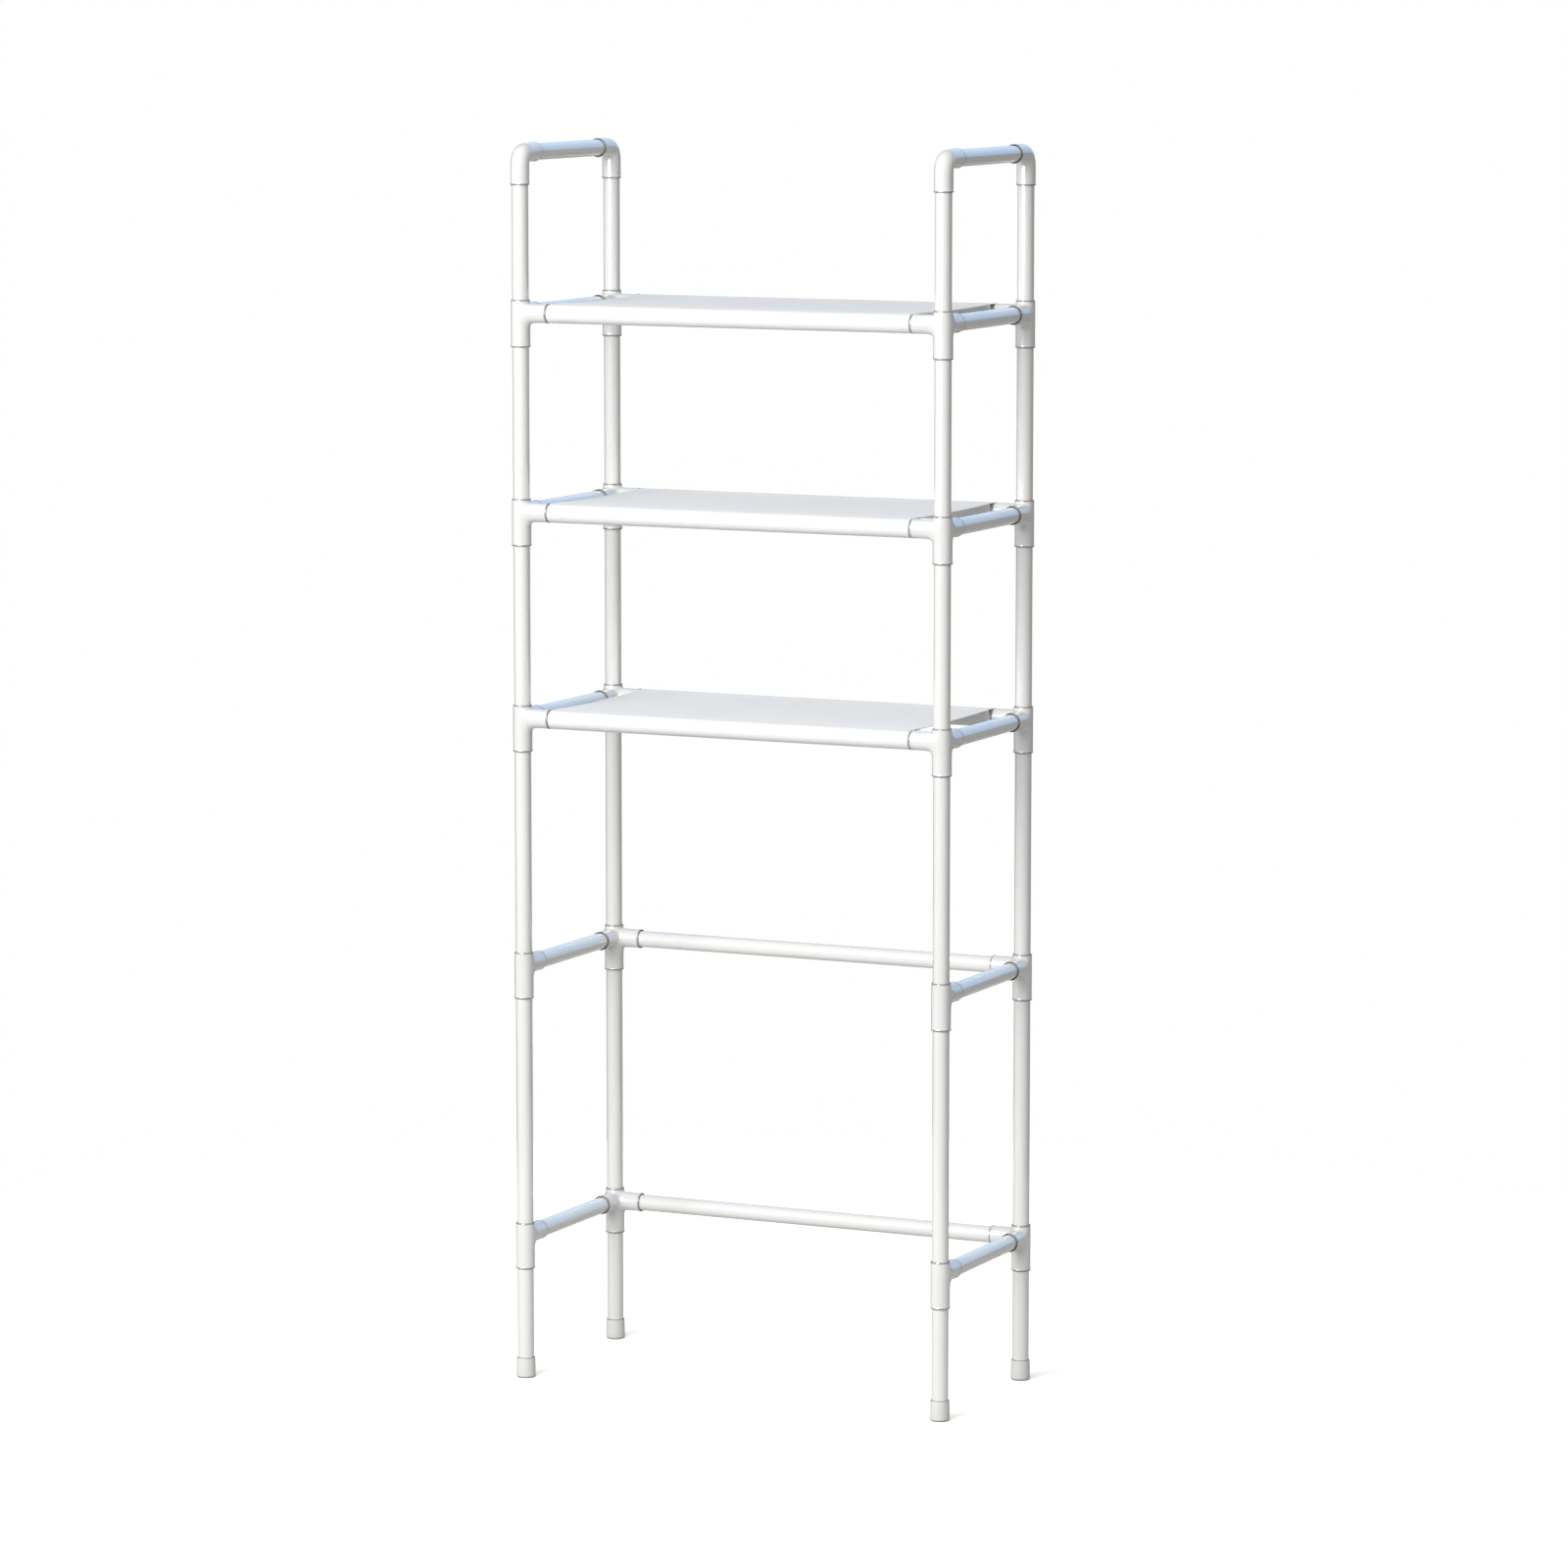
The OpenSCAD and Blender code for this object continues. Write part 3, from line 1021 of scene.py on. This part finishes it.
along_moves = [
    (half_depth, 0),
    arc(wrap_r, 1.5 * math.pi - leave),
    (rise - half_turn, 0),
    arc(TURN_R, leave - math.pi / 2),
    (FLAP, 0),
]
across_moves = [
    (half_width - LAYER / 2 - CLOTH_T / 2, 0),
    arc(LAYER / 2, math.pi),
    (HEM, 0),
]
along = walk(along_moves, step=4.5 * MM)
across = walk(across_moves, step=3.6 * MM)

# %% How a taut sheet sags and ripples
SAG = 1.6 * MM
EDGE_PULL = 1.0 * MM
WAVE = 0.25 * MM
# Long waves from rail to rail, each a wavelength and a share of WAVE
WAVES = ((113 * MM, 0.5), (67 * MM, 0.3), (41 * MM, 0.2))
DRIFT = 0.35
DRIFT_PITCH = 90 * MM
# Short puckers along a seam, stronger in some patches than in others
PUCKER = 0.1 * MM
PUCKER_PITCH = 15 * MM
PUCKER_REACH = 12 * MM
PATCH_PITCHES = (31 * MM, 13.7 * MM)
# How far from a rail the cloth hangs free, and how high over the rail's axis it counts as the panel
FREE_FROM_RAIL = 50 * MM
PANEL_HEIGHT = 0.8 * wrap_r
# A flap hangs a little lower where it crosses a hem: these lengths are how softly it starts to,
# across the cloth and along it
HEM_EASE = 5 * MM
FLAP_EASE = 6 * MM


def ease(values, start, end):
    """0 before start, 1 after end, and smooth between."""
    t = np.clip((values - start) / (end - start), 0, 1)
    return t * t * (3 - 2 * t)


def ripple(x, y, seed):
    """Shallow waves that run from rail to rail, a sum of three long sines."""
    total = 0
    for i, (length, share) in enumerate(WAVES):
        drift = DRIFT * np.sin(y / DRIFT_PITCH + seed + i)
        total = total + share * np.sin(math.tau * x / length + drift + 2.1 * seed + 1.7 * i)
    return total


def cloth_points(x, off, y, z, normal_y, normal_z, under, seed):
    """Places of cloth points round a shelf's centre, each moved along its normal by off.

    under is 1 on the flap and 0 elsewhere.
    """
    depth = 1 - (y / half_depth) ** 2
    from_rail = half_depth - np.abs(y)
    on_panel = ease(z, 0.0, PANEL_HEIGHT)
    free = ease(from_rail, 0.0, FREE_FROM_RAIL) * on_panel
    seam_near = np.exp(-(((from_rail - SEAM_AT) / PUCKER_REACH) ** 2)) * on_panel
    uneven = 0.55 + 0.45 * np.sin(x / PATCH_PITCHES[0] + 2 * seed) * np.sin(x / PATCH_PITCHES[1])
    sag = SAG * depth * free * (0.8 + 0.2 * np.abs(x) / half_width)
    waves = WAVE * free * ripple(x, y, seed)
    puckers = PUCKER * seam_near * uneven * np.sin(math.tau * x / PUCKER_PITCH + seed)
    stack = 2 * LAYER * under * ease(np.abs(x), half_width - HEM - HEM_EASE, half_width - HEM)
    pulled_x = x * (1 - EDGE_PULL / half_width * depth * free)
    return np.stack([
        pulled_x,
        y + normal_y * off,
        z + normal_z * off - sag + waves + puckers - stack,
    ], axis=-1)


# %% Place on the cloth from the two paths


def mirrored(path, odd):
    """A path from one end to the other, from its half; odd columns change sign on the near half."""
    near = path[:0:-1].copy()
    near[:, odd] *= -1
    return np.vstack([near, path])


x_path = mirrored(across, [0, 1])
y_path = mirrored(along, [0, 1])
flap_start = along[-1, 0] - FLAP


def place_on_cloth(column, row, seed):
    """Where a point of x_path and a point of y_path meet; both may be arrays of whole rows."""
    _, x, out, _ = np.moveaxis(column, -1, 0)
    gone, y, turned_down, heading = np.moveaxis(row, -1, 0)
    side = np.where(gone < 0, -1.0, 1.0)
    z = wrap_r - turned_down
    normal_y = side * np.sin(heading)
    normal_z = np.cos(heading)
    under = ease(np.abs(gone), flap_start - FLAP_EASE, flap_start)
    return cloth_points(x, -out, y, z, normal_y, normal_z, under, seed)


def cut_grid(seed):
    """Every point of the cloth and its place on the cut, row by row."""
    columns, rows = np.broadcast_arrays(x_path[None, :, :], y_path[:, None, :])
    places = place_on_cloth(columns, rows, seed)
    return places.reshape(-1, 3), np.stack([columns[..., 0], rows[..., 0]], axis=-1).reshape(-1, 2)


print(f"the cloth is a grid of {len(x_path)} x {len(y_path)} points")

# %% Make the three cloths


def weave_mesh(name, seed, centre):
    """The cloth as one grid of faces with its place on the cut as its UV map."""
    places, cut_places = cut_grid(seed)
    wide = len(x_path)
    faces = []
    for j in range(len(y_path) - 1):
        for i in range(wide - 1):
            a = j * wide + i
            faces.append((a, a + 1, a + 1 + wide, a + wide))
    mesh = bpy.data.meshes.new(name)
    mesh.from_pydata((places + np.array(centre)).tolist(), [], faces)
    corner_points = np.zeros(len(mesh.loops), np.int32)
    mesh.loops.foreach_get("vertex_index", corner_points)
    uv = mesh.uv_layers.new(name="cloth")
    uv.data.foreach_set("uv", cut_places[corner_points].astype(np.float32).ravel())
    return mesh


def make_cloth(shelf, seed):
    """One shelf's cloth, with its thickness."""
    cloth = plain_object(f"{shelf}_cloth", weave_mesh(shelf, seed, (0, 0, level_z[shelf])))
    body = cloth.modifiers.new("thickness", "SOLIDIFY")
    body.thickness = CLOTH_T
    body.offset = 0
    body.use_even_offset = True
    settle(cloth)
    cloth.data.shade_smooth()
    cloth.data.materials.append(cloth_look)
    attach(cloth, "root")
    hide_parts(f"{shelf}_cover")
    return cloth


cloths = {shelf: make_cloth(shelf, seed) for seed, shelf in enumerate(SHELVES, start=1)}
print(len(cloths), "cloths,", len(cloths["top_shelf"].data.polygons), "faces each")

# %% [markdown]
# ## Stitches
#
# Two rows of lockstitch hold each flap and one row holds each hem. On the real cloth a stitch is a short
# hump of thread that dives into the cloth at both ends. Geometry Nodes walk along each row, set a point
# every few millimetres, and lay a small slim bead there, turned along the row. The rows follow the same
# paths as the cloth, so they sit on it wherever it sags.

# %% Rows for the stitches
SKIN = CLOTH_T / 2
ROWS_FROM_RAIL = (18.5 * MM, 25 * MM)
HEM_ROW_AT = half_width - 6 * MM
STITCH_PITCH = 3.3 * MM
STITCH_LENGTH = 3.0 * MM
THREAD_R = 0.17 * MM


def seam_rows(seed):
    """Two rows near each rail, on the panel and under the flap."""
    single = np.isclose(x_path[:, 2], 0)
    columns = x_path[single].copy()
    columns[:, 2] = -SKIN
    rows = []
    for side in (-1, 1):
        for far in ROWS_FROM_RAIL:
            on_panel = [side * (half_depth - far), side * (half_depth - far), 0, 0]
            on_flap = [side * (flap_start + far - SEAM_AT), side * (half_depth - far), LAYER, math.pi]
            for row in (on_panel, on_flap):
                rows.append(place_on_cloth(columns, np.broadcast_to(row, columns.shape), seed))
    return rows


def hem_rows(seed):
    """One row along each side, right round both sleeves, and its underside below the panel."""
    on_panel = np.abs(y_path[:, 0]) < half_depth - SEAM_AT - FLAP
    rows = []
    for side in (-1, 1):
        for out, path in ((-SKIN, y_path), (LAYER + SKIN, y_path[on_panel])):
            column = [side * HEM_ROW_AT, side * HEM_ROW_AT, out, 0]
            rows.append(place_on_cloth(np.broadcast_to(column, path.shape), path, seed))
    return rows


# %% The stitch tree


def make_stitch_tree():
    """Lays beads of thread end to end along every line of its mesh."""
    sockets = [
        ("Pitch", "Float"), ("Stitch Length", "Float"),
        ("Thread Radius", "Float"), ("Material", "Material"),
    ]
    tree, given = geometry_tree("stitches", sockets)
    rows = put(tree, "GeometryNodeMeshToCurve", {"Mesh": given.outputs["Geometry"]})
    dots = put(
        tree, "GeometryNodeCurveToPoints",
        {"Curve": rows.outputs[0], "Length": given.outputs["Pitch"]}, mode="LENGTH",
    )
    half = maths(tree, "MULTIPLY", given.outputs["Stitch Length"], 0.5)
    thread_r = given.outputs["Thread Radius"]
    bead_size = put(tree, "ShaderNodeCombineXYZ", {0: thread_r, 1: thread_r, 2: half})
    bead = put(tree, "GeometryNodeMeshUVSphere", {"Segments": 6, "Rings": 4, "Radius": 1.0})
    slim = put(
        tree, "GeometryNodeTransform", {"Geometry": bead.outputs[0], "Scale": bead_size.outputs[0]},
    )
    turned = put(
        tree, "FunctionNodeAlignRotationToVector", {"Vector": dots.outputs["Tangent"]}, axis="Z",
    )
    laid = put(
        tree, "GeometryNodeInstanceOnPoints",
        {"Points": dots.outputs[0], "Instance": slim.outputs[0], "Rotation": turned.outputs[0]},
    )
    real = put(tree, "GeometryNodeRealizeInstances", {0: laid.outputs[0]})
    dressed = put(
        tree, "GeometryNodeSetMaterial",
        {"Geometry": real.outputs[0], "Material": given.outputs["Material"]},
    )
    put(tree, "NodeGroupOutput", {0: dressed.outputs[0]})
    return tree


stitch_tree = make_stitch_tree()
print("stitch tree has", len(stitch_tree.nodes), "nodes")

# %% Sew the three cloths


def sew(shelf, seed):
    """The stitches of one cloth, as one piece."""
    rows = seam_rows(seed) + hem_rows(seed)
    starts = np.cumsum([0] + [len(row) for row in rows])
    edges = [(a, a + 1) for first, last in zip(starts, starts[1:]) for a in range(first, last - 1)]
    places = np.vstack(rows) + np.array([0, 0, level_z[shelf]])
    thread = grow(f"{shelf}_stitches", points_mesh(shelf, places, edges), stitch_tree, {
        "Pitch": STITCH_PITCH, "Stitch Length": STITCH_LENGTH, "Thread Radius": THREAD_R,
        "Material": thread_look,
    })
    thread.data.shade_smooth()
    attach(thread, "root")
    return thread


for seed, shelf in enumerate(SHELVES, start=1):
    thread = sew(shelf, seed)
    print(thread.name, len(thread.data.polygons), "faces")
